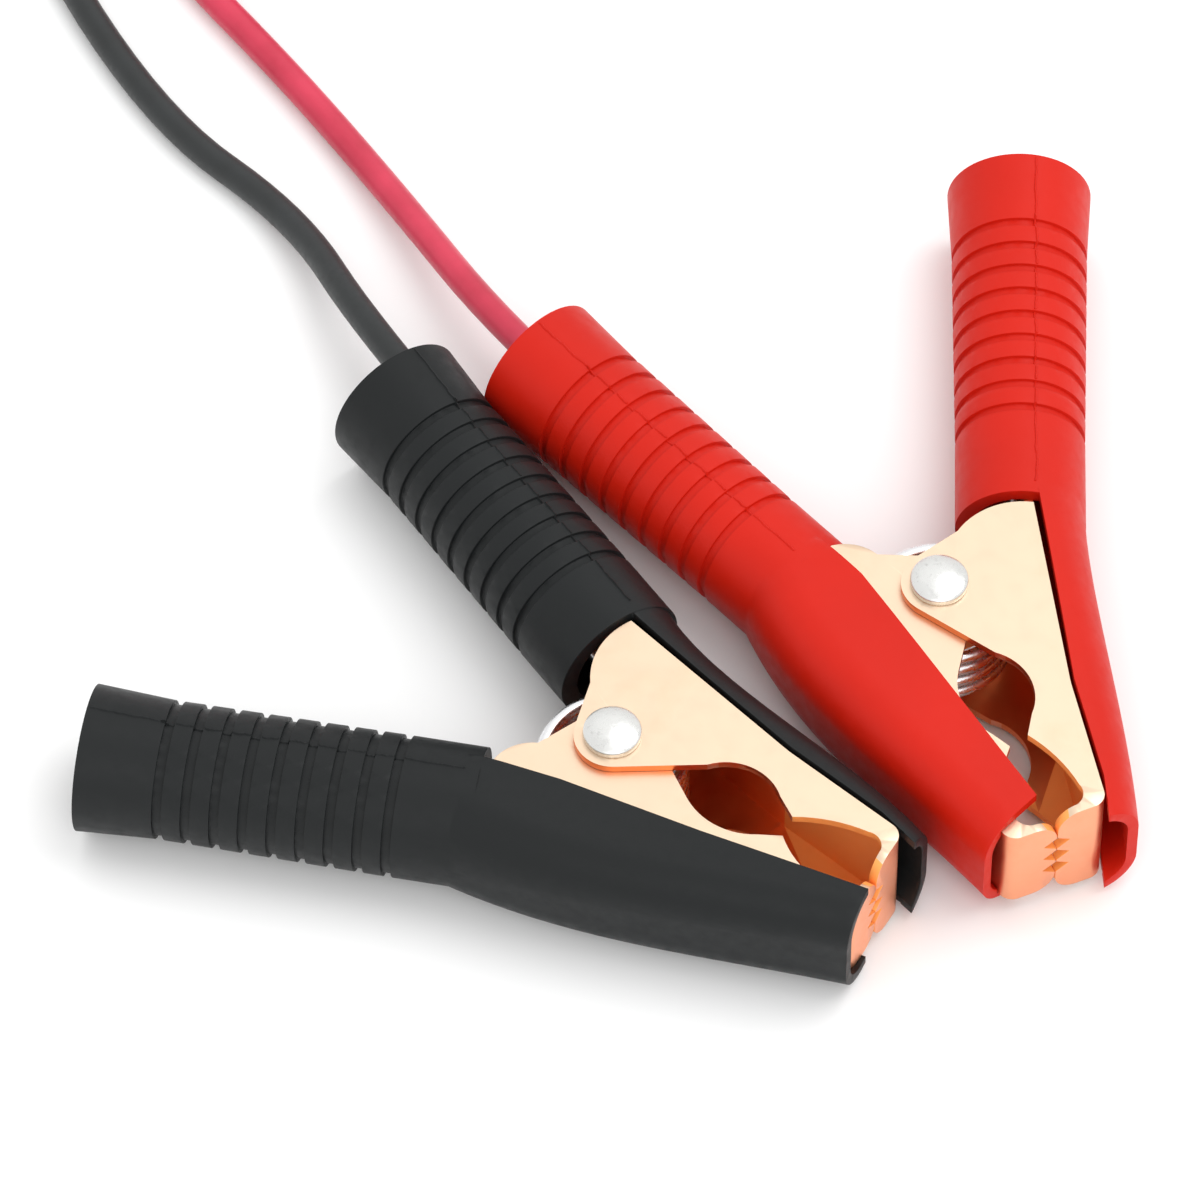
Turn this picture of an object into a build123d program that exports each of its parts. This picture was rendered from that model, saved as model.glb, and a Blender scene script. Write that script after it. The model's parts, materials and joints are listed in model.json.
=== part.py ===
from build123d import *
import math
import os
from dataclasses import dataclass

# A pair of alligator clips, one black and one red, each with its own test lead.
# Each lead ends in a 4 mm banana plug. Millimetres and degrees.
# The clips lie flat on a bench, so each pivot axis is vertical and the bench is z = 0.
# Their leads run back and are wound in two coils behind them.
# A clip's own frame has its origin at mid height on the line where the jaws meet, beside the
# pivot, +X towards the jaws and +Y towards its outer jaw. An inner jaw and its boot are made
# on the +Y side and mirrored.

# Jaws: folded sheet channels, the inner one nested in the outer one
SHEET = 0.9
OUTER_HALF = 6.5
NEST_GAP = 0.05
INNER_HALF = OUTER_HALF - SHEET - NEST_GAP
NOSE_X = 30.0
NOSE_Y = 5.3
NOSE_ROUND = 1.6
JAW_GAP = 0.05
BEND = (15.4, 7.9)
BEND_ROUND = 12.0
HEEL_X = -6.2
HEEL_ROUND = 6.0
THROAT_X = (9.2, 13.2, 17.4)
NECK_X = 19.6
MOUTH_X = (23.4, 27.0, 28.4)
TAIL_START = 4.0
BOSS_RADIUS = 3.9
TOOTH_COUNT = 3
TOOTH_PITCH = 2.1
TOOTH_DEPTH = 1.4
LIP_ROUND = 2.4

# Pivot rivet, towards the outer jaw from the line where the jaws meet
PIVOT_X = -0.8
PIVOT_Y = 0.7
SHANK_RADIUS = 1.75
RUNNING_GAP = 0.05
HEAD_RADIUS = 2.95
HEAD_HEIGHT = 1.5
TAIL_HEAD_RADIUS = 2.6
TAIL_HEAD_HEIGHT = 0.8

# Torsion spring
WIRE_RADIUS = 0.7
COIL_RADIUS = 7.1
COIL_PITCH = 1.95
COIL_WHOLE_TURNS = 3
LEG_END = 33.0

# Boots: a grip tube that opens into a half shell along the jaw. The shell starts inset in the tube.
TAIL_RADIUS = 7.5
GRIP_RADIUS = 7.05
BORE_RADIUS = 5.2
RING_COUNT = 9
FIRST_RING = 8.0
RING_PITCH = 2.92
RING_WIDTH = 1.0
RING_DEPTH = 0.4
SHELL_WALL = 1.1
SHELL_OVERLAP = 2.0
SHELL_HIP_X = 1.5
SHELL_TIP_X = 31.0
LIP_GAP = 0.4
SHELL_INSET = 0.15
# The shell's width, half height and corner radius at the hip, halfway and past its tip
HIP_SECTION = (18.0, 6.95, 5.5)
MIDDLE_SECTION = (16.0, 6.9, 4.8)
END_SECTION = (13.0, 6.7, 4.2)

# Leads
CABLE_RADIUS = 1.6
CONDUCTOR_RADIUS = 1.1
CRIMP_RADIUS = 2.2
LEAD_CLEARANCE = 0.15
CRIMP_LENGTH = 4.0
JACKET_CRIMP = 5.0
STRAND_CRIMP = 12.0
JACKET_END = 10.0
CONDUCTOR_END = 18.0
TURN_RADIUS_OUTER = 23.0
TURNS_PER_LAYER = 3.5
TURN_PITCH = 3.25
COIL_LIFT = 0.4
LAYER_HEIGHT = 2 * CABLE_RADIUS
TIE_THICKNESS = 0.4
TIE_WIDTH = 3.0
TIE_ANGLE = 300.0

# Banana plugs
PLUG_RADIUS = 4.8
PLUG_NECK_RADIUS = 2.6
PLUG_LENGTH = 34.0
PLUG_TAIL = 22.0
PLUG_RIBS_START = 12.0
PLUG_RIB_COUNT = 5
PLUG_RIB_PITCH = 2.6
PLUG_RIB_WIDTH = 1.7
PLUG_COLLAR = 4.0
PLUG_EDGE = 0.6
PIN_RADIUS = 2.0
PIN_LENGTH = 15.0
STEM_RADIUS = 1.6
STEM_LENGTH = 8.0
LEAD_DEPTH = 6.0

MID = TAIL_RADIUS


@dataclass
class Lever:
    """One jaw with its boot. Its handle's axis leaves the point (0, offset) at angle.

    web is the jaw's outer face, out from the handle's axis. rear and waist shape the plate
    behind the pivot. tube is the boot's length over the handle. hip and tip are how far out the
    shell stands. lip_start, out from the handle's axis, and lip are its edge.
    """

    half: float
    pivot_y: float
    hole: float
    angle: float
    offset: float
    reach: float
    web: float
    rear: tuple
    waist: tuple
    throat: float
    neck: float
    tube: float
    hip: float
    tip: float
    lip_start: float
    lip: list
    mouth: float = 3.6

    def along(self, t, out=0.0):
        """The point t from the handle's tail end and out from its axis."""
        ux, uy = math.cos(math.radians(self.angle)), -math.sin(math.radians(self.angle))
        start = (-self.reach * ux, self.offset - self.reach * uy)
        return (start[0] + t * ux - out * uy, start[1] + t * uy + out * ux)

    def heel(self):
        """Where the web leaves the handle, on its outer face."""
        x, y = self.along(0, self.web)
        return (HEEL_X, y - (HEEL_X - x) * math.tan(math.radians(self.angle)))

    def tail_half(self):
        """Half height at which the tail's edges grip the boot's bore."""
        bite = 0.05
        return math.sqrt(BORE_RADIUS**2 - self.web**2) + bite


def outer_lever(reach, tube, hip, tip):
    """A jaw on the outside of the nest, whose shell stops just outside the fold."""
    over_bend = (BEND[0], BEND[1] + LIP_GAP)
    over_nose = (NOSE_X - 3.0, NOSE_Y + 0.6 + LIP_GAP)
    past_nose = (SHELL_TIP_X + 0.6, NOSE_Y - 0.5)
    lip = [over_bend, over_nose, past_nose]
    return Lever(half=OUTER_HALF, pivot_y=PIVOT_Y, hole=SHANK_RADIUS, angle=24.0, offset=9.6, reach=reach,
                 web=1.1, rear=(-7.3, 10.0), waist=(-5.9, 5.0), throat=4.35, neck=1.3, tube=tube,
                 hip=hip, tip=tip, lip_start=1.4, lip=lip)


def inner_lever(reach, lip):
    """A jaw on the inside of the nest, whose shell wraps over its flat sides."""
    return Lever(half=INNER_HALF, pivot_y=-PIVOT_Y, hole=SHANK_RADIUS + RUNNING_GAP, angle=20.0, offset=7.65,
                 reach=reach, web=2.2, rear=(-9.8, 8.0), waist=(-7.0, 3.4), throat=2.9, neck=0.6, tube=40.0,
                 hip=16.6, tip=7.4, lip_start=-3.2, lip=lip)


@dataclass
class Clip:
    """One clip with its lead. placed() puts what is made in the clip's own frame on the bench."""

    name: str
    place: tuple
    yaw: float
    outer: Lever
    inner: Lever
    cabled: str
    grip_end: float
    route: list
    coil_centre: tuple

    def placed(self, shape, inner=False):
        """The shape where it stands on the bench, first mirrored if it is an inner one."""
        shape = mirror(shape, about=Plane.XZ) if inner else shape
        return Location((*self.place, MID), (0, 0, self.yaw)) * shape


def unit(a, b):
    length = math.dist(a, b)
    return ((b[0] - a[0]) / length, (b[1] - a[1]) / length)


def offset_right(points, distance):
    """The path moved to its right, with mitred corners."""
    dirs = [unit(a, b) for a, b in zip(points, points[1:])]
    moved = []
    for i, (x, y) in enumerate(points):
        a, b = dirs[max(i - 1, 0)], dirs[min(i, len(dirs) - 1)]
        scale = distance / (1 + a[0] * b[0] + a[1] * b[1])
        moved.append((x + (a[1] + b[1]) * scale, y - (a[0] + b[0]) * scale))
    return moved


def strip(points, radii, half):
    """A strip of sheet on edge, whose outer face follows the points."""
    inside = offset_right(points, SHEET)
    outer_edge = FilletPolyline(*points, radius=radii)
    inner_edge = FilletPolyline(*inside, radius=[r - SHEET for r in radii])
    ends = [Line(points[0], inside[0]), Line(points[-1], inside[-1])]
    face = make_face([*outer_edge.edges(), *inner_edge.edges(), *ends])
    return Pos(0, 0, -half) * extrude(face, 2 * half, dir=(0, 0, 1))


def touch_angle(point, centre, radius, side):
    """The angle at which a line from the point touches a circle, on the given side."""
    dx, dy = point[0] - centre[0], point[1] - centre[1]
    reach = math.acos(radius / math.hypot(dx, dy))
    return math.degrees(math.atan2(dy, dx) + side * reach)


def on_circle(centre, radius, angle):
    a = math.radians(angle)
    return (centre[0] + radius * math.cos(a), centre[1] + radius * math.sin(a))


def plate_face(lever):
    """The flat side of a jaw: boss, throat, neck, second opening and nose."""
    heel = lever.heel()
    boss = (PIVOT_X, lever.pivot_y)
    throat_start = (THROAT_X[0], 0.55 * lever.throat)
    throat_top = (THROAT_X[1], lever.throat)
    throat_end = (THROAT_X[2], 0.45 * lever.neck + 0.5 * lever.throat)
    neck = (NECK_X, lever.neck)
    mouth_start = (MOUTH_X[0], 0.82 * lever.mouth)
    mouth_top = (MOUTH_X[1], lever.mouth)
    mouth_front = (MOUTH_X[2], 0.94 * lever.mouth)
    mouth_end = (NOSE_X - SHEET, LIP_ROUND)
    rear_touch = on_circle(boss, BOSS_RADIUS, touch_angle(lever.waist, boss, BOSS_RADIUS, 1))
    front_touch = on_circle(boss, BOSS_RADIUS, touch_angle(throat_start, boss, BOSS_RADIUS, -1))
    edges = [
        ThreePointArc(heel, lever.rear, lever.waist),
        Line(lever.waist, rear_touch),
        ThreePointArc(rear_touch, on_circle(boss, BOSS_RADIUS, -125.0), front_touch),
        Line(front_touch, throat_start),
        ThreePointArc(throat_start, throat_top, throat_end),
        Line(throat_end, neck),
        ThreePointArc(neck, mouth_start, mouth_top),
        ThreePointArc(mouth_top, mouth_front, mouth_end),
        Line(mouth_end, (NOSE_X, LIP_ROUND)),
    ]
    rim = FilletPolyline((NOSE_X, LIP_ROUND), (NOSE_X, NOSE_Y), BEND, heel, radius=[NOSE_ROUND, BEND_ROUND])
    return make_face([*edges, *rim.edges()])


def nose_cuts(lever):
    """The notches between the teeth, and the rounded ends of the mating edge."""
    depth = JAW_GAP + TOOTH_DEPTH
    half_width = 0.45 * TOOTH_PITCH
    cuts = []
    for i in range(TOOTH_COUNT):
        z = (i - (TOOTH_COUNT - 1) / 2) * TOOTH_PITCH
        notch = make_face(Polyline((0, z - half_width), (depth, z), (0, z + half_width), close=True))
        cuts.append(notch)
    for side in (-1, 1):
        top = side * lever.half
        corner = Rectangle(2 * LIP_ROUND, 2 * LIP_ROUND)
        rounding = Pos(LIP_ROUND, -side * LIP_ROUND) * Circle(LIP_ROUND)
        cuts.append(Pos(JAW_GAP, top) * (corner - rounding))
    side_view = Plane(origin=(NOSE_X - 2 * SHEET, 0, 0), x_dir=(0, 1, 0), z_dir=(1, 0, 0))
    return [extrude(side_view * cut, 3 * SHEET, dir=(1, 0, 0)) for cut in cuts]


def crimp(lever, start, bore):
    """A barrel on the lever's tail, closed around the lead."""
    barrel = Circle(CRIMP_RADIUS) - Circle(bore)
    return extrude(lead_plane(lever, start) * barrel, CRIMP_LENGTH)


def lead_offset(lever):
    """How far the lead lies outwards of the handle's axis: just clear of one face of the tail strip."""
    to_face = CABLE_RADIUS + LEAD_CLEARANCE
    if lever.half == OUTER_HALF:
        return lever.web + to_face
    return lever.web - SHEET - to_face


def cabled_lever(clip):
    return clip.outer if clip.cabled == "outer" else clip.inner


def lead_plane(lever, t):
    """A plane across the lead, t from the tail end, facing the jaws."""
    x, y = lever.along(t, lead_offset(lever))
    direction = (math.cos(math.radians(lever.angle)), -math.sin(math.radians(lever.angle)), 0)
    return Plane(origin=(x, y, 0), x_dir=(0, 0, 1), z_dir=direction)


def jaw(lever, cabled):
    """A jaw: two flat sides, a web that wraps round the nose, teeth and a tail."""
    heel = lever.heel()
    web_points = [heel, BEND, (NOSE_X, NOSE_Y), (NOSE_X, JAW_GAP)]
    body = strip(web_points, [BEND_ROUND, NOSE_ROUND], lever.half)
    plate = plate_face(lever)
    hole = Pos(PIVOT_X, lever.pivot_y) * Circle(lever.hole)
    for bottom in (-lever.half, lever.half - SHEET):
        body += Pos(0, 0, bottom) * extrude(plate - hole, SHEET, dir=(0, 0, 1))
    onto_web = 3.0
    run = unit(heel, BEND)
    past_heel = (heel[0] + onto_web * run[0], heel[1] + onto_web * run[1])
    tail = [lever.along(TAIL_START, lever.web), heel, past_heel]
    body += strip(tail, [HEEL_ROUND], lever.tail_half())
    body = body - nose_cuts(lever)
    if cabled:
        body += crimp(lever, JACKET_CRIMP, CABLE_RADIUS)
        body += crimp(lever, STRAND_CRIMP, CONDUCTOR_RADIUS)
    return body


def rivet():
    """A shank with a domed head on top and a smaller closed end below."""
    shank = Cylinder(SHANK_RADIUS, 2 * OUTER_HALF)
    top = Pos(0, 0, OUTER_HALF) * dome(HEAD_RADIUS, HEAD_HEIGHT)
    bottom = Pos(0, 0, -OUTER_HALF) * Rot(180, 0, 0) * dome(TAIL_HEAD_RADIUS, TAIL_HEAD_HEIGHT)
    return Pos(PIVOT_X, PIVOT_Y, 0) * (shank + top + bottom)


def dome(radius, height):
    """A low disc with a straight edge and a spherical top."""
    cap = 0.5 * height
    sphere_radius = (radius**2 + cap**2) / (2 * cap)
    disc = Pos(0, 0, height / 2) * Cylinder(radius, height)
    return disc & Pos(0, 0, height - sphere_radius) * Sphere(sphere_radius)


def torsion_spring(clip):
    """Round wire: a leg along each handle and a coil round the pivot."""
    outer_end = clip.outer.along(LEG_END, clip.outer.web - SHEET - WIRE_RADIUS)
    x, y = clip.inner.along(LEG_END, clip.inner.web - SHEET - WIRE_RADIUS)
    inner_end = (x, -y)
    centre = (PIVOT_X, PIVOT_Y)
    start = touch_angle(outer_end, centre, COIL_RADIUS, -1)
    finish = touch_angle(inner_end, centre, COIL_RADIUS, 1)
    height = (COIL_WHOLE_TURNS + (start - finish) / 360) * COIL_PITCH
    helix = Helix(COIL_PITCH, height, COIL_RADIUS, lefthand=True)
    coil = Pos(*centre, -height / 2) * Rot(0, 0, start) * helix
    lower, upper = coil @ 0, coil @ 1
    leg_in = Line((*outer_end, lower.Z), lower)
    leg_out = Line(upper, (*inner_end, upper.Z))
    path = Wire([leg_in.edge(), coil.edge(), leg_out.edge()])
    section = Plane(origin=leg_in @ 0, z_dir=leg_in % 0) * Circle(WIRE_RADIUS)
    return sweep(section, path=path, is_frenet=False)


def grip_tube(lever, grip_end):
    """The boot's tube: a flared tail and a row of ring grooves."""
    profile = [(BORE_RADIUS, 0), (TAIL_RADIUS, 0)]
    for i in range(RING_COUNT):
        z = FIRST_RING + i * RING_PITCH
        outside = GRIP_RADIUS + (grip_end - GRIP_RADIUS) * i / (RING_COUNT - 1)
        profile += [
            (outside, z),
            (outside - RING_DEPTH, z),
            (outside - RING_DEPTH, z + RING_WIDTH),
            (outside, z + RING_WIDTH),
        ]
    profile += [(grip_end, lever.tube), (BORE_RADIUS, lever.tube)]
    tube = revolve(Plane.XZ * make_face(Polyline(*profile, close=True)), Axis.Z)
    return handle_plane(lever, 0).location * tube


def sloping_plane(x, y, slope):
    """A plane across a line that falls at the slope towards the jaws, with its x outwards."""
    a = math.radians(slope)
    outwards = (math.sin(a), math.cos(a), 0)
    forwards = (math.cos(a), -math.sin(a), 0)
    return Plane(origin=(x, y, 0), x_dir=outwards, z_dir=forwards)


def handle_plane(lever, t):
    """A plane across the handle, t from its tail end."""
    return sloping_plane(*lever.along(t), lever.angle)


def shell_section(x, y, slope, size, wall):
    """A rounded section of the shell, inwards from its outer face at (x, y), less the wall."""
    width, half, corner = size
    section = RectangleRounded(width - 2 * wall, 2 * (half - wall), corner - wall)
    return sloping_plane(x, y, slope) * Pos(-width / 2, 0) * section


def shell_solid(lever, grip_end, wall):
    """The shell's full round shape, before its open side is cut away."""
    past_tip, crown, hip_tilt = 2.5, 0.3, 3.0
    fall = (lever.hip - lever.tip) / (SHELL_TIP_X - SHELL_HIP_X)
    slope = math.degrees(math.atan(fall))
    start = grip_end - SHELL_INSET
    tube_out = lever.along(lever.tube - SHELL_OVERLAP, start)
    middle = ((SHELL_HIP_X + SHELL_TIP_X) / 2, (lever.hip + lever.tip) / 2 + crown)
    end = (SHELL_TIP_X + past_tip, lever.tip - past_tip * fall)
    round_tube = (2 * start, start, 0.95 * start)
    sections = [
        shell_section(*tube_out, lever.angle, round_tube, wall),
        shell_section(SHELL_HIP_X, lever.hip, slope + hip_tilt, HIP_SECTION, wall),
        shell_section(*middle, slope, MIDDLE_SECTION, wall),
        shell_section(*end, slope, END_SECTION, wall),
    ]
    return loft(sections)


def shell_opening(lever):
    """The plan shape of what is cut away, so that the shell is open towards the jaw."""
    inside_tube = lever.tube - SHELL_OVERLAP
    lip_start = lever.along(inside_tube, lever.lip_start)
    far_side = lever.along(inside_tube, -12.0)
    front = (SHELL_TIP_X + LIP_GAP, 12.0)
    ahead, away = front[0] + 8.0, -14.0
    around = [front, (ahead, front[1]), (ahead, away), (far_side[0], away), far_side]
    plan = make_face(Polyline(lip_start, *lever.lip, *around, close=True))
    return extrude(plan, 2 * TAIL_RADIUS, both=True)


def jaw_pocket(lever):
    """The room that a jaw's flat sides take inside the shell."""
    room = 0.1
    heel = lever.heel()
    fold = offset_right([heel, BEND, (NOSE_X, NOSE_Y)], -room)
    plan = make_face(Polyline(*fold, (NOSE_X, 0), (HEEL_X, 0), close=True))
    return extrude(plan, lever.half + room, both=True)


def boot(lever, grip_end):
    """A soft sleeve: a ringed tube over the handle and a half shell along the jaw."""
    hollow = shell_solid(lever, grip_end, SHELL_WALL)
    shell = shell_solid(lever, grip_end, 0.0) - shell_opening(lever) - hollow
    bore = extrude(handle_plane(lever, -1) * Circle(BORE_RADIUS), lever.tube + 3)
    return grip_tube(lever, grip_end) + shell - jaw_pocket(lever) - bore


def conductor(clip):
    """The stripped strands inside the crimp."""
    lever = cabled_lever(clip)
    return extrude(lead_plane(lever, JACKET_END) * Circle(CONDUCTOR_RADIUS), CONDUCTOR_END - JACKET_END)


def cord_radii(points):
    """The largest tangent arc for each corner of a cord's route."""
    vectors = [Vector(*b) - Vector(*a) for a, b in zip(points, points[1:])]
    radii = []
    for a, b in zip(vectors, vectors[1:]):
        turn = math.radians(a.get_angle(b))
        radii.append(0.45 * min(a.length, b.length) / math.tan(turn / 2))
    return radii


def on_bench(clip, x, y, z):
    """A point of the clip's own frame, where it stands. An inner jaw's points have y mirrored."""
    a = math.radians(clip.yaw)
    y = -y if clip.cabled == "inner" else y
    px, py = clip.place
    return (px + x * math.cos(a) - y * math.sin(a), py + x * math.sin(a) + y * math.cos(a), MID + z)


def cable(clip):
    """The lead from its crimp, down to the bench and up to its coil."""
    lever = cabled_lever(clip)
    x, y = lever.along(JACKET_END, lead_offset(lever))
    points = [on_bench(clip, x, y, 0), *clip.route, coil_entry(clip)]
    radii = cord_radii(points)
    path = FilletPolyline(*points, radius=radii)
    tube = sweep(Plane(origin=path @ 0, z_dir=path % 0) * Circle(CABLE_RADIUS), path=path)
    wanted = math.pi * CABLE_RADIUS**2 * path.length
    print(clip.name, "cable: arc radii", [round(r, 1) for r in radii], "length", round(path.length, 1))
    print(clip.name, "cable: volume over section times length", round(tube.volume / wanted, 4))
    return tube


def coil_entry(clip):
    """Where the lead joins the lower layer of its coil, on the left of the outermost turn."""
    x, y = clip.coil_centre
    return (x - TURN_RADIUS_OUTER, y, COIL_LIFT + CABLE_RADIUS)


def coil_ring_radii():
    """The inside and outside radius of the coiled lead."""
    inner_turn = TURN_RADIUS_OUTER - TURNS_PER_LAYER * TURN_PITCH
    return inner_turn - CABLE_RADIUS, TURN_RADIUS_OUTER + CABLE_RADIUS


def cable_coil(clip):
    """The outer shape of the coiled lead: two layers of flat turns."""
    inside, outside = coil_ring_radii()
    ring = Circle(outside) - Circle(inside)
    return Pos(*clip.coil_centre, COIL_LIFT) * extrude(ring, 2 * LAYER_HEIGHT)


def coil_tie(clip):
    """A flat strap closed round the turns."""
    inside, outside = coil_ring_radii()
    width, height = outside - inside, 2 * LAYER_HEIGHT
    corner = 0.3
    loop = RectangleRounded(width + 2 * TIE_THICKNESS, height + 2 * TIE_THICKNESS, corner + TIE_THICKNESS)
    loop -= RectangleRounded(width, height, corner)
    a = math.radians(TIE_ANGLE)
    middle = (inside + outside) / 2
    x, y = clip.coil_centre
    centre = (x + middle * math.cos(a), y + middle * math.sin(a), COIL_LIFT + LAYER_HEIGHT)
    outwards, along_turns = (math.cos(a), math.sin(a), 0), (math.sin(a), -math.cos(a), 0)
    across_turns = Plane(origin=centre, x_dir=outwards, z_dir=along_turns)
    return extrude(across_turns * loop, TIE_WIDTH / 2, both=True)


def plug_plane(clip, ahead):
    """A plane across the plug's axis, a distance ahead of where its lead leaves the coil's far side."""
    x, y = clip.coil_centre
    origin = (x + ahead, y + TURN_RADIUS_OUTER, PLUG_RADIUS)
    return Plane(origin=origin, x_dir=(0, 1, 0), z_dir=(1, 0, 0))


def plug_lead(clip):
    """The short end of the lead, from the coil's upper layer into the plug."""
    return extrude(plug_plane(clip, 0) * Circle(CABLE_RADIUS), PLUG_TAIL)


def plug_sleeve(clip):
    """The plug's moulded grip: a strain relief, a ribbed barrel and a front collar."""
    waist = PLUG_RADIUS - PLUG_EDGE
    edges = [(0, 0), (PLUG_NECK_RADIUS, 0), (PLUG_NECK_RADIUS + 0.5, 7.0), (waist, 9.5)]
    for i in range(PLUG_RIB_COUNT):
        start = PLUG_RIBS_START + i * PLUG_RIB_PITCH
        end = start + PLUG_RIB_WIDTH
        edges += [(waist, start), (PLUG_RADIUS, start + 0.5), (PLUG_RADIUS, end - 0.5), (waist, end)]
    edges += [
        (waist, PLUG_LENGTH - PLUG_COLLAR - PLUG_EDGE),
        (PLUG_RADIUS, PLUG_LENGTH - PLUG_COLLAR),
        (PLUG_RADIUS, PLUG_LENGTH - PLUG_EDGE),
        (waist, PLUG_LENGTH),
        (0, PLUG_LENGTH),
    ]
    sleeve = revolve(Plane.XZ * make_face(Polyline(*edges, close=True)), Axis.Z)
    sleeve -= extrude(Circle(CABLE_RADIUS), LEAD_DEPTH)
    sleeve -= Pos(0, 0, PLUG_LENGTH - STEM_LENGTH) * extrude(Circle(STEM_RADIUS), STEM_LENGTH)
    return plug_plane(clip, PLUG_TAIL - LEAD_DEPTH).location * sleeve


def plug_pin(clip):
    """A plain 4 mm contact pin with a rounded tip, on a thinner stem seated in the sleeve."""
    tip_round = 0.9
    pin = extrude(Circle(PIN_RADIUS), PIN_LENGTH)
    pin = fillet(pin.edges().group_by(Axis.Z)[-1], tip_round)
    pin += Pos(0, 0, -STEM_LENGTH) * extrude(Circle(STEM_RADIUS), STEM_LENGTH)
    return plug_plane(clip, PLUG_TAIL - LEAD_DEPTH + PLUG_LENGTH).location * pin


def clip_nodes(clip):
    """Every piece of one clip and its lead, by name, where it stands."""
    inner_cabled = clip.cabled == "inner"
    pieces = {
        "outer_jaw": clip.placed(jaw(clip.outer, not inner_cabled)),
        "inner_jaw": clip.placed(jaw(clip.inner, inner_cabled), inner=True),
        "pivot_rivet": clip.placed(rivet()),
        "torsion_spring": clip.placed(torsion_spring(clip)),
        "outer_boot": clip.placed(boot(clip.outer, clip.grip_end)),
        "inner_boot": clip.placed(boot(clip.inner, clip.grip_end), inner=True),
        "conductor": clip.placed(conductor(clip), inner=inner_cabled),
        "cable": cable(clip),
        "cable_coil": cable_coil(clip),
        "coil_tie": coil_tie(clip),
        "plug_lead": plug_lead(clip),
        "plug_sleeve": plug_sleeve(clip),
        "plug_pin": plug_pin(clip),
    }
    return {f"{clip.name}_{name}": piece for name, piece in pieces.items()}


BLACK = Clip(
    name="black", place=(1.52, -25.63), yaw=-30.6, cabled="outer", grip_end=7.2,
    outer=outer_lever(reach=47.7, tube=40.0, hip=15.8, tip=7.6),
    inner=inner_lever(reach=50.0, lip=[(-2.4, 6.8), (12.7, 5.0), (30.4, 2.4)]),
    route=[
        (-24.3, 30.9, 7.4), (-31.9, 49.3, 1.6), (-47.1, 62.3, 1.6),
        (-62.5, 91.5, 1.6), (-65.0, 124.0, 1.6),
    ],
    coil_centre=(-42.0, 158.4),
)
RED = Clip(
    name="red", place=(33.87, -7.12), yaw=-67.2, cabled="inner", grip_end=6.7,
    outer=outer_lever(reach=51.0, tube=42.5, hip=16.8, tip=8.2),
    inner=inner_lever(reach=49.1, lip=[(-4.6, 6.2), (12.0, 3.4), (26.6, 0.9)]),
    route=[(-9.6, 29.7, 7.4), (-22.1, 52.5, 2.0), (-33.6, 69.0, 1.6), (-48.0, 87.0, 1.6)],
    coil_centre=(-25.0, 107.5),
)

os.makedirs("parts", exist_ok=True)
for each_clip in (BLACK, RED):
    for node, solid in clip_nodes(each_clip).items():
        export_step(solid, f"parts/{node}.step")
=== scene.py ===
import json
import math
import random

import bmesh
import bpy
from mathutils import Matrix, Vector


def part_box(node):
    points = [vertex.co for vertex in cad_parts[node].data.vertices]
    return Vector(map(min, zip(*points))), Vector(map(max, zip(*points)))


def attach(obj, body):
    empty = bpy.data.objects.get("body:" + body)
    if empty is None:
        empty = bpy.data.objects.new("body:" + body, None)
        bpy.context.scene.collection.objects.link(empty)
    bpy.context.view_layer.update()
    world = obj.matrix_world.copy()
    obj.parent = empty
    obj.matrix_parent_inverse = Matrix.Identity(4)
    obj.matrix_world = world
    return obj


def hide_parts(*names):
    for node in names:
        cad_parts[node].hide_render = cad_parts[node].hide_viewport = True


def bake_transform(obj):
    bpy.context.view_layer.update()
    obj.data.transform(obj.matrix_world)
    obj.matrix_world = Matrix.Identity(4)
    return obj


# A black and a red alligator clip on a pale bench, each with its lead. Metres, in the part's frame.
# A clip's own frame is the part's: origin on the line where the jaws meet, +X towards the jaws.

MM = 0.001
MID = 7.5
CABLE_RADIUS = 1.6
TURN_RADIUS = 23.0
TURN_PITCH = 3.25
LOWER_TURNS = 3.5
CLIMB_TURNS = 0.5
UPPER_TURNS = 3.25
POINTS_PER_TURN = 16
LOWER_LAYER_Z = 2.0
UPPER_LAYER_Z = 5.2
CLIMB_RADIUS = 10.9
PLUG_AXIS_Z = 4.8
PLUG_TAIL = 22.0
FIRST_RING = 8.0
RING_PITCH = 2.92
RING_WIDTH = 1.0
RING_DEPTH = 0.4
RING_COUNT = 9
TAIL_RADIUS = 7.5
GRIP_RADIUS = 7.05

BLACK = {
    "name": "black", "place": (1.52, -25.63), "yaw": -30.6, "cabled": "outer", "grip_end": 7.2,
    "reach": {"outer": 47.7, "inner": 50.0}, "free_side": "inner",
    "route": [(-24.3, 30.9, 7.4), (-31.9, 49.3, 1.6), (-47.1, 62.3, 1.6), (-62.5, 91.5, 1.6),
              (-65.0, 124.0, 1.6)],
    "coil_centre": (-42.0, 158.4), "lead_length": 0.943, "seam": {"outer": 19.0, "inner": -9.0},
    "tube": {"outer": 40.0, "inner": 40.0},
}
RED = {
    "name": "red", "place": (33.87, -7.12), "yaw": -67.2, "cabled": "inner", "grip_end": 6.7,
    "reach": {"outer": 51.0, "inner": 49.1}, "free_side": "outer",
    "route": [(-9.6, 29.7, 7.4), (-22.1, 52.5, 2.0), (-33.6, 69.0, 1.6), (-48.0, 87.0, 1.6)],
    "coil_centre": (-25.0, 107.5), "lead_length": 0.889, "seam": {"outer": 12.0, "inner": 0.0},
    "tube": {"outer": 42.5, "inner": 40.0},
}
HANDLE = {
    "outer": {"angle": 24.0, "offset": 9.6, "lead": 2.85},
    "inner": {"angle": 20.0, "offset": 7.65, "lead": -0.45},
}
ROOT = "cabled_handles"

# The lead's height eases from the coil's upper layer to the plug's axis over this distance
EASE_START = 8.0
EASE_END = 15.0
EASE_DROP = 0.2

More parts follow.
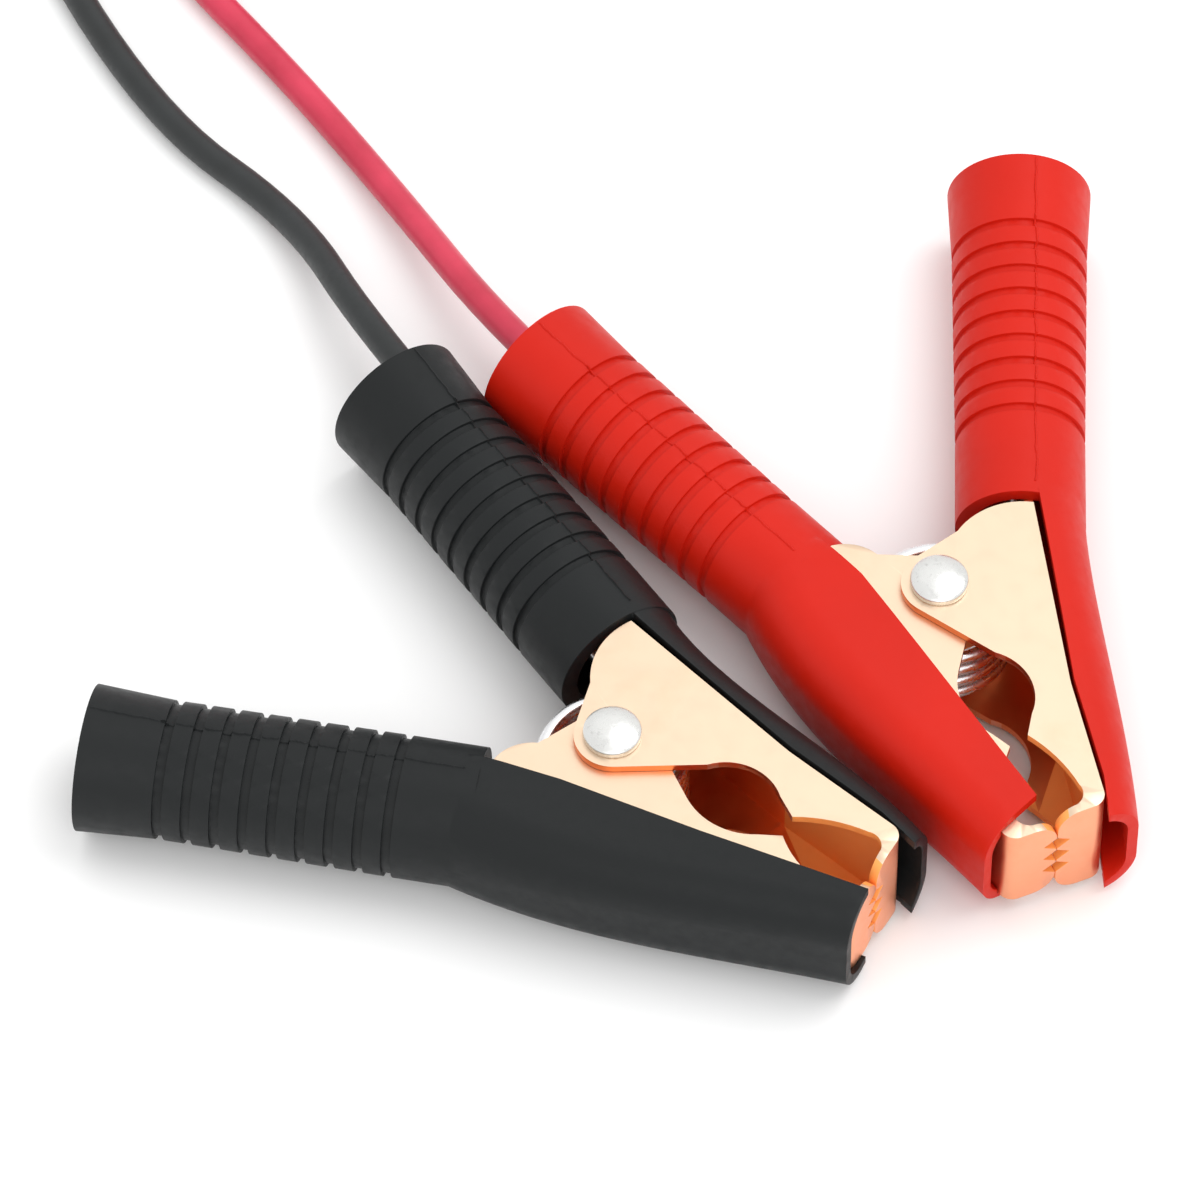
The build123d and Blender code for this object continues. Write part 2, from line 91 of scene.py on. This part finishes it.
# Vertices closer than this are one vertex. Edges sharper than the angle are rounded.
WELD_DISTANCE = 0.002
SHARP_ANGLE = 35.0

# Camera: its target on the bench, elevation and distance
TARGET = (-0.05, 1.46, 0.0)
ELEVATION = 55.17
DISTANCE = 1000.0
LENS = 292.5
SENSOR = 36.0


def metres(x, y, z):
    return Vector((x * MM, y * MM, z * MM))


def on_bench(clip, side, x, y, z=0.0):
    """A point of the clip's own frame where it stands. An inner side's points are mirrored."""
    a = math.radians(clip["yaw"])
    y = -y if side == "inner" else y
    px, py = clip["place"]
    return (px + x * math.cos(a) - y * math.sin(a), py + x * math.sin(a) + y * math.cos(a), MID + z)


def along(clip, side, t, out=0.0, up=0.0):
    """The point t from a handle's tail end, out from its axis and up from mid height."""
    handle = HANDLE[side]
    a = math.radians(handle["angle"])
    ux, uy = math.cos(a), -math.sin(a)
    travel = t - clip["reach"][side]
    return on_bench(clip, side, travel * ux - out * uy, handle["offset"] + travel * uy + out * ux, up)


def body_for(clip, side):
    return f"{clip['name']}_free_handle" if side == clip["free_side"] else ROOT


# Camera and light

def make_camera():
    data = bpy.data.cameras.new("camera")
    data.lens, data.sensor_width = LENS, SENSOR
    data.clip_start, data.clip_end = 0.05, 20.0
    camera = bpy.data.objects.new("camera", data)
    e = math.radians(ELEVATION)
    back = Vector((0, -math.cos(e), math.sin(e)))
    camera.location = metres(*TARGET) + back * DISTANCE * MM
    camera.rotation_mode = "QUATERNION"
    camera.rotation_quaternion = (-back).to_track_quat("-Z", "Y")
    bpy.context.scene.collection.objects.link(camera)
    bpy.context.scene.camera = camera


def area_light(name, azimuth, elevation, distance, size, power):
    """A round light that faces the clips. Azimuth 0 is in front of them and 90 is on the right."""
    data = bpy.data.lights.new(name, "AREA")
    data.shape = "DISK"
    data.size, data.energy = size, power
    light = bpy.data.objects.new(name, data)
    a, e = math.radians(azimuth), math.radians(elevation)
    back = Vector((math.sin(a) * math.cos(e), -math.cos(a) * math.cos(e), math.sin(e)))
    light.location = back * distance
    light.rotation_mode = "QUATERNION"
    light.rotation_quaternion = (-back).to_track_quat("-Z", "Y")
    bpy.context.scene.collection.objects.link(light)


def make_studio():
    """A white world, a broad card behind that the flat plates reflect, a key light and a front fill."""
    world = bpy.data.worlds.new("studio")
    bpy.context.scene.world = world
    world.use_nodes = True
    background = world.node_tree.nodes["Background"]
    background.inputs["Color"].default_value = (1.0, 1.0, 1.0, 1.0)
    background.inputs["Strength"].default_value = 1.0
    area_light("back_card", azimuth=180, elevation=55, distance=1.2, size=1.4, power=0.7)
    area_light("side_key", azimuth=110, elevation=64, distance=1.0, size=0.8, power=3.0)
    area_light("front_fill", azimuth=10, elevation=42, distance=1.1, size=0.9, power=2.6)
    bpy.context.scene.view_settings.view_transform = "Standard"


# Materials

# The colour sockets of Blender's mix node, which share their names with its other kinds
MIX_A, MIX_B, MIX_RESULT = 6, 7, 2


class Nodes:
    """Short calls for building one material's node tree."""

    def __init__(self, name):
        self.material = bpy.data.materials.new(name)
        self.material.use_nodes = True
        self.tree = self.material.node_tree
        self.shader = self.tree.nodes["Principled BSDF"]
        self.place = self.add("ShaderNodeTexCoord").outputs["Object"]

    def add(self, kind, **values):
        node = self.tree.nodes.new(kind)
        for key, value in values.items():
            setattr(node, key, value)
        return node

    def link(self, output, target):
        self.tree.links.new(output, target)

    def noise(self, scale, detail=4.0, roughness=0.55, stretch=(1, 1, 1), lean=0.0):
        mapping = self.add("ShaderNodeMapping")
        mapping.inputs["Scale"].default_value = stretch
        mapping.inputs["Rotation"].default_value = (0, 0, lean)
        self.link(self.place, mapping.inputs["Vector"])
        node = self.add("ShaderNodeTexNoise")
        node.inputs["Scale"].default_value = scale
        node.inputs["Detail"].default_value = detail
        node.inputs["Roughness"].default_value = roughness
        self.link(mapping.outputs["Vector"], node.inputs["Vector"])
        return node.outputs["Fac"]

    def cells(self, scale):
        node = self.add("ShaderNodeTexVoronoi", feature="DISTANCE_TO_EDGE")
        node.inputs["Scale"].default_value = scale
        self.link(self.place, node.inputs["Vector"])
        return node.outputs["Distance"]

    def between(self, value, low, high, to_low=0.0, to_high=1.0):
        node = self.add("ShaderNodeMapRange")
        self.link(value, node.inputs["Value"])
        for key, number in (("From Min", low), ("From Max", high), ("To Min", to_low), ("To Max", to_high)):
            node.inputs[key].default_value = number
        return node.outputs["Result"]

    def mix(self, share, colour_a, colour_b):
        node = self.add("ShaderNodeMix", data_type="RGBA")
        self.link(share, node.inputs["Factor"])
        for key, colour in ((MIX_A, colour_a), (MIX_B, colour_b)):
            if isinstance(colour, tuple):
                node.inputs[key].default_value = (*colour, 1.0)
            else:
                self.link(colour, node.inputs[key])
        return node.outputs[MIX_RESULT]

    def bump(self, height, strength, depth, base=None):
        node = self.add("ShaderNodeBump")
        node.inputs["Strength"].default_value = strength
        node.inputs["Distance"].default_value = depth * MM
        self.link(height, node.inputs["Height"])
        if base is not None:
            self.link(base, node.inputs["Normal"])
        return node.outputs["Normal"]

    def finish(self, colour, roughness, normal, **constants):
        self.link(colour, self.shader.inputs["Base Color"])
        self.link(roughness, self.shader.inputs["Roughness"])
        self.link(normal, self.shader.inputs["Normal"])
        for key, value in constants.items():
            self.shader.inputs[key.replace("_", " ")].default_value = value
        return self.material


def rubber(name, colour, worn, shine, grain):
    """Moulded soft plastic: slow colour drift, fine mould grain, faint scuffs."""
    n = Nodes(name)
    drift = n.between(n.noise(60.0), 0.35, 0.65)
    scuffs = n.between(n.noise(900.0, 6.0, 0.7, (1, 6, 1), 0.6), 0.66, 0.76)
    tone = n.mix(drift, colour, tuple(0.92 * c for c in colour))
    shade = n.mix(n.between(scuffs, 0.0, 1.0, 0.0, 0.25), tone, worn)
    rough = n.between(n.noise(700.0), 0.3, 0.7, shine - 0.06, shine + 0.08)
    fine = n.bump(n.noise(9000.0, 2.0), grain, 0.02)
    normal = n.bump(n.noise(260.0, 2.0), 0.04, 0.05, fine)
    return n.finish(shade, rough, normal, IOR=1.3)


def cable_jacket(name, colour, deep, shine):
    """Extruded flexible plastic: slight ripple, dust and a soft gloss."""
    n = Nodes(name)
    shade = n.mix(n.between(n.noise(150.0, 5.0), 0.35, 0.68), colour, deep)
    rough = n.between(n.noise(1500.0), 0.3, 0.7, shine - 0.05, shine + 0.1)
    fine = n.bump(n.noise(6000.0, 2.0), 0.2, 0.02)
    normal = n.bump(n.noise(260.0, 2.0), 0.3, 0.08, fine)
    return n.finish(shade, rough, normal, IOR=1.48)


def copper_plate(name, colour, tarnished, shine, metallic=1.0):
    """Thin copper plating on stamped steel, with faint rolling lines and tarnish."""
    n = Nodes(name)
    tarnish = n.between(n.noise(130.0, 5.0, 0.6), 0.52, 0.74)
    shade = n.mix(n.between(tarnish, 0.0, 1.0, 0.0, 0.35), colour, tarnished)
    lines = n.noise(1600.0, 3.0, 0.6, (1, 14, 1), 0.5)
    rough = n.between(n.noise(500.0), 0.3, 0.7, shine, shine + 0.12)
    fine = n.bump(lines, 0.12, 0.02)
    normal = n.bump(n.noise(170.0, 2.0), 0.05, 0.1, fine)
    return n.finish(shade, rough, normal, Metallic=metallic)


def bright_metal(name, colour, dark, shine, dents):
    """Tumbled bright metal: small dents, haze and darker pits."""
    n = Nodes(name)
    pits = n.between(n.noise(1400.0, 5.0, 0.7), 0.58, 0.72)
    shade = n.mix(n.between(pits, 0.0, 1.0, 0.0, 0.55), colour, dark)
    rough = n.between(n.noise(1100.0), 0.3, 0.7, shine - 0.05, shine + 0.14)
    cells = n.bump(n.between(n.cells(1300.0), 0.0, 0.25), dents, 0.03)
    normal = n.bump(n.noise(2200.0, 4.0), 0.5 * dents, 0.05, cells)
    return n.finish(shade, rough, normal, Metallic=1.0)


def strands():
    """Twisted bare copper strands."""
    n = Nodes("copper_strands")
    wave = n.add("ShaderNodeTexWave", bands_direction="DIAGONAL")
    wave.inputs["Scale"].default_value = 900.0
    n.link(n.place, wave.inputs["Vector"])
    shade = n.mix(wave.outputs["Fac"], (0.9, 0.5, 0.28), (0.5, 0.2, 0.1))
    rough = n.between(n.noise(900.0), 0.3, 0.7, 0.25, 0.4)
    return n.finish(shade, rough, n.bump(wave.outputs["Fac"], 0.8, 0.15), Metallic=1.0)


def bench_surface():
    """Plain matte white paper."""
    n = Nodes("bench")
    shade = n.mix(n.noise(8.0), (0.93, 0.93, 0.925), (0.95, 0.95, 0.95))
    rough = n.between(n.noise(40.0), 0.3, 0.7, 0.75, 0.85)
    return n.finish(shade, rough, n.bump(n.noise(900.0), 0.05, 0.05), IOR=1.3)


def make_materials():
    return {
        "copper_plate": copper_plate("copper_plate", (0.82, 0.63, 0.46), (0.8, 0.52, 0.34), 0.3),
        # A redder copy of the plating for the jaws' outer web and nose faces: painted shade.
        "copper_side_painted_shade": copper_plate("copper_side_painted_shade", (0.93, 0.42, 0.24), (0.8, 0.3, 0.15), 0.34),
        # A deep red copy of the plating for the jaws' inner faces: painted shade in the recesses.
        "copper_inner_painted_shade": copper_plate("copper_inner_painted_shade", (0.88, 0.26, 0.09), (0.72, 0.17, 0.06), 0.3),
        # A bright orange, less metallic copy of the plating for the faces near the jaw opening: painted
        # light.
        "copper_opening_painted_light": copper_plate("copper_opening_painted_light", (1.0, 0.4, 0.1), (0.9, 0.3, 0.07), 0.5, 0.25),
        "rivet_steel": bright_metal("rivet_steel", (0.76, 0.76, 0.74), (0.42, 0.41, 0.4), 0.24, 0.16),
        "spring_steel": bright_metal("spring_steel", (0.82, 0.82, 0.83), (0.5, 0.5, 0.5), 0.22, 0.08),
        "copper_strands": strands(),
        "tie_strap": rubber("tie_strap", (0.02, 0.02, 0.021), (0.06, 0.06, 0.06), 0.5, 0.3),
        "pin_nickel": bright_metal("pin_nickel", (0.56, 0.54, 0.51), (0.38, 0.36, 0.33), 0.2, 0.04),
        "black_boot": rubber("black_boot", (0.011, 0.0125, 0.013), (0.05, 0.055, 0.055), 0.46, 0.3),
        "black_cable": cable_jacket("black_cable", (0.019, 0.022, 0.023), (0.014, 0.016, 0.016), 0.42),
        "black_plug": rubber("black_plug", (0.024, 0.025, 0.027), (0.06, 0.06, 0.06), 0.4, 0.25),
        "red_boot": rubber("red_boot", (0.6, 0.012, 0.003), (0.7, 0.04, 0.02), 0.46, 0.25),
        "red_cable": cable_jacket("red_cable", (0.62, 0.035, 0.08), (0.5, 0.022, 0.055), 0.36),
        "red_plug": rubber("red_plug", (0.6, 0.02, 0.015), (0.7, 0.08, 0.06), 0.38, 0.25),
    }


# Pieces

def new_piece(name, mesh, material, body=None):
    piece = bpy.data.objects.new(name, mesh)
    bpy.context.scene.collection.objects.link(piece)
    mesh.materials.clear()
    mesh.materials.append(material)
    if body:
        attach(piece, body)
    return piece


def spiral(clip, turns, radii, heights, start_turn):
    """Control points of one run of the coil, clockwise, changing evenly in radius and height."""
    out = 1 / math.cos(math.pi / POINTS_PER_TURN)
    cx, cy = clip["coil_centre"]
    steps = round(turns * POINTS_PER_TURN)
    points = []
    for i in range(1, steps + 1):
        share = i / steps
        radius = (radii[0] + (radii[1] - radii[0]) * share) * out
        a = math.pi - 2 * math.pi * (start_turn + turns * share)
        height = heights[0] + (heights[1] - heights[0]) * share
        points.append((cx + radius * math.cos(a), cy + radius * math.sin(a), height))
    return points


def coil_points(clip):
    """The lead's coil: a flat spiral inwards, a climb, and a flat spiral outwards on top."""
    inner = TURN_RADIUS - LOWER_TURNS * TURN_PITCH
    low, high = (LOWER_LAYER_Z, LOWER_LAYER_Z), (UPPER_LAYER_Z, UPPER_LAYER_Z)
    down = spiral(clip, LOWER_TURNS, (TURN_RADIUS, inner), low, 0)
    rise = spiral(clip, CLIMB_TURNS, (inner, CLIMB_RADIUS), (LOWER_LAYER_Z, UPPER_LAYER_Z), LOWER_TURNS)
    up = spiral(clip, UPPER_TURNS, (CLIMB_RADIUS, TURN_RADIUS), high, LOWER_TURNS + CLIMB_TURNS)
    return down + rise + up


def lead(clip, materials):
    """The whole lead as one smooth cord: out of the boot, along the bench, coiled, into the plug."""
    name, side = clip["name"], clip["cabled"]
    cx, cy = clip["coil_centre"]
    far_side = cy + TURN_RADIUS
    points = [along(clip, side, 10.0, HANDLE[side]["lead"]), *clip["route"]]
    points += [(cx - TURN_RADIUS, cy, LOWER_LAYER_Z), *coil_points(clip)]
    points += [(cx + EASE_START, far_side, UPPER_LAYER_Z - EASE_DROP), (cx + EASE_END, far_side, PLUG_AXIS_Z)]
    points += [(cx + PLUG_TAIL, far_side, PLUG_AXIS_Z)]
    curve = bpy.data.curves.new(f"{name}_lead", "CURVE")
    curve.dimensions = "3D"
    curve.bevel_depth = CABLE_RADIUS * MM
    curve.bevel_resolution = 6
    curve.use_fill_caps = True
    spline = curve.splines.new("NURBS")
    spline.points.add(len(points) - 1)
    for point, place in zip(spline.points, points):
        point.co = (*metres(*place), 1.0)
    spline.order_u = 3
    spline.use_endpoint_u = True
    spline.resolution_u = 8
    piece = bpy.data.objects.new(f"{name}_lead", curve)
    bpy.context.scene.collection.objects.link(piece)
    curve.materials.append(materials[f"{name}_cable"])
    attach(piece, ROOT)
    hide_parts(f"{name}_cable", f"{name}_cable_coil", f"{name}_plug_lead")


def tube_radius(clip, t):
    """The boot's outside radius at t from its tail end, rings and all."""
    if t < FIRST_RING:
        return TAIL_RADIUS + (GRIP_RADIUS - TAIL_RADIUS) * t / FIRST_RING
    ring = min(int((t - FIRST_RING) / RING_PITCH), RING_COUNT - 1)
    outside = GRIP_RADIUS + (clip["grip_end"] - GRIP_RADIUS) * ring / (RING_COUNT - 1)
    in_groove = t - FIRST_RING - ring * RING_PITCH < RING_WIDTH
    return outside - RING_DEPTH if in_groove else outside


def seam(clip, side, materials):
    """The flash left along a boot's grip where its two moulds met: a thin uneven ridge."""
    rng = random.Random(f"{clip['name']} {side}")
    step, base, sunk = 0.2, 0.16, 0.06
    end_margin, tail_margin = 1.5, 0.3
    nick_height, nick_reach = 0.18, 0.5
    centre = math.radians(clip["seam"][side])
    wander, height = 0.0, 0.12
    mesh = bpy.data.meshes.new(f"{clip['name']}_{side}_seam")
    bm = bmesh.new()
    rows = []
    for i in range(int((clip["tube"][side] - end_margin) / step)):
        t = tail_margin + i * step
        wander = 0.9 * wander + rng.uniform(-0.05, 0.05)
        height = 0.85 * height + 0.15 * rng.uniform(0.04, 0.24)
        nick = nick_height if abs(t - FIRST_RING) < nick_reach else 0.0
        radius = tube_radius(clip, t)
        crest = 0.35 * base
        profile = [(-base, -sunk), (-crest, height + nick), (crest, 0.8 * height + nick), (base, -sunk)]
        row = []
        for across, rise in profile:
            a = centre + (wander + across) / radius
            r = radius + rise
            row.append(bm.verts.new(metres(*along(clip, side, t, r * math.sin(a), r * math.cos(a)))))
        rows.append(row)
    for first, second in zip(rows, rows[1:]):
        for j in range(3):
            bm.faces.new((first[j], first[j + 1], second[j + 1], second[j]))
        bm.faces.new((first[3], first[0], second[0], second[3]))
    bm.faces.new(rows[0])
    bm.faces.new(rows[-1][::-1])
    bmesh.ops.recalc_face_normals(bm, faces=bm.faces)
    bm.to_mesh(mesh)
    bm.free()
    slot = f"{clip['name']}_boot"
    new_piece(mesh.name, mesh, materials[slot], body_for(clip, side))


def torsion_spring(clip, frame, materials):
    """The spring's wire: a welded, smooth-shaded copy of the CAD spring's mesh, baked where it stands, while
    the node itself is hidden.
    """
    node = f"{clip['name']}_torsion_spring"
    mesh = frame["nodes"][node].data.copy()
    bm = bmesh.new()
    bm.from_mesh(mesh)
    bmesh.ops.remove_doubles(bm, verts=bm.verts, dist=WELD_DISTANCE * MM)
    bm.to_mesh(mesh)
    bm.free()
    mesh.polygons.foreach_set("use_smooth", [True] * len(mesh.polygons))
    piece = new_piece(f"{clip['name']}_spring_wire", mesh, materials["spring_steel"], None)
    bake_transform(piece)
    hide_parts(node)


def soften(node, width):
    """Rounds a CAD node's sharp edges a little and shades its flat faces flat."""
    node.data.polygons.foreach_set("use_smooth", [True] * len(node.data.polygons))
    weld = node.modifiers.new("weld", "WELD")
    weld.merge_threshold = WELD_DISTANCE * MM
    bevel = node.modifiers.new("round", "BEVEL")
    bevel.width = width * MM
    bevel.segments = 2
    bevel.limit_method = "ANGLE"
    bevel.angle_limit = math.radians(SHARP_ANGLE)
    flat = node.modifiers.new("flat", "WEIGHTED_NORMAL")
    flat.mode = "FACE_AREA"
    flat.weight = 90


def dress_nodes(frame, materials):
    """Every CAD node gets its slot's material; boots, jaws, sleeves, rivets, pins and ties also get slightly
    rounded edges.
    """
    widths = {"boot": 0.25, "jaw": 0.1, "sleeve": 0.15, "rivet": 0.12, "pin": 0.1, "tie": 0.06}
    for entry in frame["record"]["subparts"]:
        node = frame["nodes"][entry["node"]]
        node.data.materials.clear()
        node.data.materials.append(materials[entry["material_slot"]])
        width = widths.get(entry["node"].rsplit("_", 1)[-1])
        if width:
            soften(node, width)


def tone_jaw(frame, clip, side, materials):
    """The jaw's flat sides keep the plain plating. Its outer web and nose faces get a redder copy, painted
    shade; its inner faces a deep red copy, painted shade in the recesses; and the faces near the jaw's
    opening a bright orange copy, painted light.
    """
    flat_side, side_painted_shade, inner_painted_shade, opening_painted_light = range(4)
    node = frame["nodes"][f"{clip['name']}_{side}_jaw"]
    for look in ("copper_side_painted_shade", "copper_inner_painted_shade", "copper_opening_painted_light"):
        node.data.materials.append(materials[look])
    low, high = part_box(node.name)
    skin, mouth_start = 0.3 * MM, 19.0 * MM
    clip_origin = metres(*clip["place"], 0.0)
    a = math.radians(clip["yaw"])
    forwards = Vector((math.cos(a), math.sin(a), 0))
    outwards = Vector((-math.sin(a), math.cos(a), 0)) * (1 if side == "outer" else -1)
    for face in node.data.polygons:
        z = face.center.z
        level = abs(face.normal.z) > 0.6
        outside = face.normal.dot(outwards) > 0.2 or face.normal.dot(forwards) > 0.6
        if level and not low.z + skin < z < high.z - skin:
            face.material_index = flat_side
        elif outside and not level:
            face.material_index = side_painted_shade
        elif (face.center - clip_origin).dot(forwards) < mouth_start:
            face.material_index = inner_painted_shade
        else:
            face.material_index = opening_painted_light


def make_bench():
    mesh = bpy.data.meshes.new("bench")
    half = 3.0
    bm = bmesh.new()
    corners = ((-half, -half), (half, -half), (half, half), (-half, half))
    bm.faces.new([bm.verts.new((x, y, 0.0)) for x, y in corners])
    bm.to_mesh(mesh)
    bm.free()
    new_piece("bench", mesh, bench_surface())


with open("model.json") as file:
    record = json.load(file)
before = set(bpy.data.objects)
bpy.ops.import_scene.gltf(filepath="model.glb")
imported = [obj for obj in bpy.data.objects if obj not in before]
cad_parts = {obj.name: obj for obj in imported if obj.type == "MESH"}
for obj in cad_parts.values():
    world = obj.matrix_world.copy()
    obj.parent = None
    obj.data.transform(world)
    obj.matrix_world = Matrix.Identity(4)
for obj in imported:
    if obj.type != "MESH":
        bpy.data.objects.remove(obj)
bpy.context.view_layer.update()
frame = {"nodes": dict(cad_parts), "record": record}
make_camera()
looks = make_materials()
for each_clip in (BLACK, RED):
    lead(each_clip, looks)
    torsion_spring(each_clip, frame, looks)
    for each_side in ("outer", "inner"):
        seam(each_clip, each_side, looks)
dress_nodes(frame, looks)
for each_clip in (BLACK, RED):
    for each_side in ("outer", "inner"):
        tone_jaw(frame, each_clip, each_side, looks)
make_bench()
make_studio()
